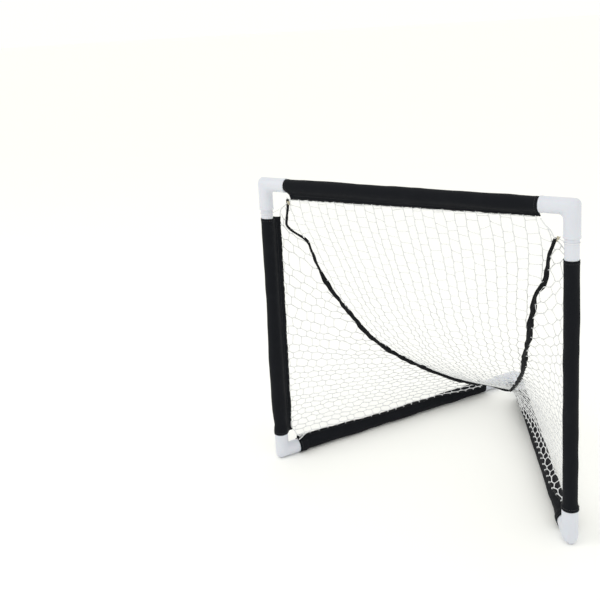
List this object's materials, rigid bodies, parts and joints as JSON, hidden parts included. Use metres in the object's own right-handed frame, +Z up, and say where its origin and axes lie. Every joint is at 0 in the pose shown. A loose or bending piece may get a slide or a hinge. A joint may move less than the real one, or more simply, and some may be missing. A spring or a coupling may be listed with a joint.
{
  "type": "practice goal with net",
  "caption": "Free-standing practice goal: push-fit white tube frame with a V-shaped base, black fabric pole sleeves and a hung white net.",
  "frame": {"origin": "on the floor, under the middle of the goal's outer box", "axes": "+Z up, the mouth faces -Y, +X is the goal's right side as a shooter facing the mouth sees it"},
  "size_m": [0.6614, 0.6302, 0.629],
  "materials": {
    "pvc_white": "satin moulded and extruded white plastic",
    "sleeve_black": "plain-weave coated polyester, slightly wrinkled",
    "net_white": "knotless knitted cord in a hexagonal mesh",
    "binding_black": "folded woven tape, stitched",
    "tie_cream": "twisted cord"
  },
  "bodies": {
    "base_frame": {"left_post_tube": "pvc_white", "left_base_tube": "pvc_white", "bottom_left_elbow": "pvc_white", "right_post_tube": "pvc_white", "right_base_tube": "pvc_white", "bottom_right_elbow": "pvc_white", "rear_elbow": "pvc_white", "left_post_sleeve": "sleeve_black", "left_base_sleeve": "sleeve_black", "right_post_sleeve": "sleeve_black", "right_base_sleeve": "sleeve_black", "rear_net": "net_white", "left_net": "net_white", "left_seam_binding": "binding_black", "left_corner_tie": "tie_cream", "right_net": "net_white", "right_seam_binding": "binding_black", "right_corner_tie": "tie_cream", "rear_hem_binding": "binding_black"},
    "crossbar_unit": {"crossbar_tube": "pvc_white", "top_left_elbow": "pvc_white", "top_right_elbow": "pvc_white", "crossbar_sleeve": "sleeve_black"}
  },
  "joints": [
    {"name": "crossbar_lift", "type": "slide", "parent": "base_frame", "child": "crossbar_unit", "axis": [0, 0, 1], "range_m": [0, 0.034]}
  ]
}
